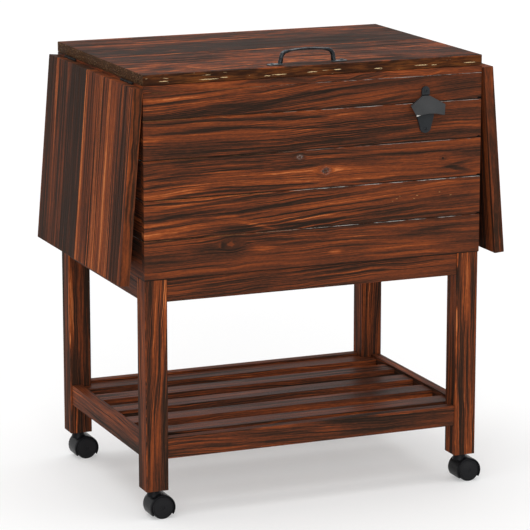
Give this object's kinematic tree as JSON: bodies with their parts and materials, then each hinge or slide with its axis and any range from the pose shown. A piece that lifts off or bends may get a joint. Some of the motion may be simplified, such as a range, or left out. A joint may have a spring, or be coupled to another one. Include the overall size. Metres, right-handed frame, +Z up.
{
  "type": "wooden cooler cart",
  "caption": "Boarded wooden cooler cart with an insulated lidded ice tub, drop leaves on folding stays, a slatted shelf, a wall bottle opener and swivel casters.",
  "frame": {"origin": "on the floor, under the middle of the boarded cabinet", "axes": "+Z up, front with the bottle opener towards -Y, +X to the right seen from the front"},
  "size_m": [0.7358, 0.491, 0.8139],
  "materials": {
    "charred_wood": "torched fir under clear gloss",
    "plain_wood": "planed",
    "foam": "rigid foam",
    "tub_steel": "brushed",
    "black_rubber": "matte",
    "drain_plastic": "moulded",
    "black_plastic": "moulded",
    "black_iron": "black painted iron",
    "zinc_steel": "zinc plated"
  },
  "bodies": {
    "base": {"leg_fl": "charred_wood", "leg_fr": "charred_wood", "leg_bl": "charred_wood", "leg_br": "charred_wood", "apron_front": "charred_wood", "apron_back": "charred_wood", "apron_left": "charred_wood", "apron_right": "charred_wood", "shelf_rail_front": "charred_wood", "shelf_rail_back": "charred_wood", "shelf_rail_left": "charred_wood", "shelf_rail_right": "charred_wood", "shelf_slat_1": "charred_wood", "shelf_slat_2": "charred_wood", "shelf_slat_3": "charred_wood", "shelf_slat_4": "charred_wood", "shelf_slat_5": "charred_wood", "front_boards": "charred_wood", "back_boards": "charred_wood", "left_boards": "charred_wood", "right_boards": "charred_wood", "top_rim": "charred_wood", "shelf_cleats": "plain_wood", "floor_panel": "plain_wood", "insulation": "foam", "tub": "tub_steel", "lid_gasket": "black_rubber", "leaf_bumpers": "black_rubber", "drain_spigot": "drain_plastic", "drain_nut": "drain_plastic", "lid_hinge_plates": "black_iron", "bottle_opener": "black_iron", "opener_screws": "black_iron", "leaf_hinge_plates": "black_iron", "stay_brackets": "black_iron", "caster_sockets": "zinc_steel"},
    "cap": {"drain_cap": "black_plastic"},
    "lid": {"lid_boards": "charred_wood", "lid_battens": "plain_wood", "lid_foam": "foam", "lid_liner": "tub_steel", "lid_hinge_straps": "black_iron", "lid_handle": "black_iron", "handle_screws": "black_iron"},
    "leaf_l": {"leaf_left": "charred_wood", "leaf_hinge_straps_left": "black_iron", "stay_seats_left": "black_iron"},
    "leaf_r": {"leaf_right": "charred_wood", "leaf_hinge_straps_right": "black_iron", "stay_seats_right": "black_iron"},
    "stays_l": {"stay_arms_left": "black_iron"},
    "stays_r": {"stay_arms_right": "black_iron"},
    "swivel_fl": {"caster_fl": "black_plastic"},
    "axle_fl": {"wheels_fl": "black_plastic"},
    "swivel_fr": {"caster_fr": "black_plastic"},
    "axle_fr": {"wheels_fr": "black_plastic"},
    "swivel_bl": {"caster_bl": "black_plastic"},
    "axle_bl": {"wheels_bl": "black_plastic"},
    "swivel_br": {"caster_br": "black_plastic"},
    "axle_br": {"wheels_br": "black_plastic"}
  },
  "joints": [
    {"name": "lid_hinge", "type": "hinge", "parent": "base", "child": "lid", "pos_m": [0, 0.229, 0.768], "axis": [-1, 0, 0], "range_deg": [0, 95]},
    {"name": "leaf_left_hinge", "type": "hinge", "parent": "base", "child": "leaf_l", "pos_m": [-0.3205, 0, 0.7645], "axis": [0, 1, 0], "range_deg": [0, 85.2]},
    {"name": "stay_left_hinge", "type": "hinge", "parent": "base", "child": "stays_l", "pos_m": [-0.3255, 0, 0.6545], "axis": [0, 1, 0], "range_deg": [0, 125.83]},
    {"name": "leaf_right_hinge", "type": "hinge", "parent": "base", "child": "leaf_r", "pos_m": [0.3205, 0, 0.7645], "axis": [0, -1, 0], "range_deg": [0, 85.2]},
    {"name": "stay_right_hinge", "type": "hinge", "parent": "base", "child": "stays_r", "pos_m": [0.3255, 0, 0.6545], "axis": [0, -1, 0], "range_deg": [0, 125.83]},
    {"name": "swivel_fl_turn", "type": "hinge", "parent": "base", "child": "swivel_fl", "pos_m": [-0.2985, -0.2035, 0.05], "axis": [0, 0, 1], "continuous": true},
    {"name": "wheels_fl_roll", "type": "hinge", "parent": "swivel_fl", "child": "axle_fl", "pos_m": [-0.2885, -0.2035, 0.02], "axis": [0, 1, 0], "continuous": true},
    {"name": "swivel_fr_turn", "type": "hinge", "parent": "base", "child": "swivel_fr", "pos_m": [0.2985, -0.2035, 0.05], "axis": [0, 0, 1], "continuous": true},
    {"name": "wheels_fr_roll", "type": "hinge", "parent": "swivel_fr", "child": "axle_fr", "pos_m": [0.3085, -0.2035, 0.02], "axis": [0, 1, 0], "continuous": true},
    {"name": "swivel_bl_turn", "type": "hinge", "parent": "base", "child": "swivel_bl", "pos_m": [-0.2985, 0.2035, 0.05], "axis": [0, 0, 1], "continuous": true},
    {"name": "wheels_bl_roll", "type": "hinge", "parent": "swivel_bl", "child": "axle_bl", "pos_m": [-0.2885, 0.2035, 0.02], "axis": [0, 1, 0], "continuous": true},
    {"name": "swivel_br_turn", "type": "hinge", "parent": "base", "child": "swivel_br", "pos_m": [0.2985, 0.2035, 0.05], "axis": [0, 0, 1], "continuous": true},
    {"name": "wheels_br_roll", "type": "hinge", "parent": "swivel_br", "child": "axle_br", "pos_m": [0.3085, 0.2035, 0.02], "axis": [0, 1, 0], "continuous": true},
    {"name": "drain_cap_turn", "type": "hinge", "parent": "base", "child": "cap", "pos_m": [-0.19, 0.09, 0.405], "axis": [0, 0, -1], "range_deg": [0, 540]}
  ],
  "couplings": [
    {"joint": "stay_left_hinge", "follows": "leaf_left_hinge", "ratio": 1.4769},
    {"joint": "stay_right_hinge", "follows": "leaf_right_hinge", "ratio": 1.4769}
  ]
}
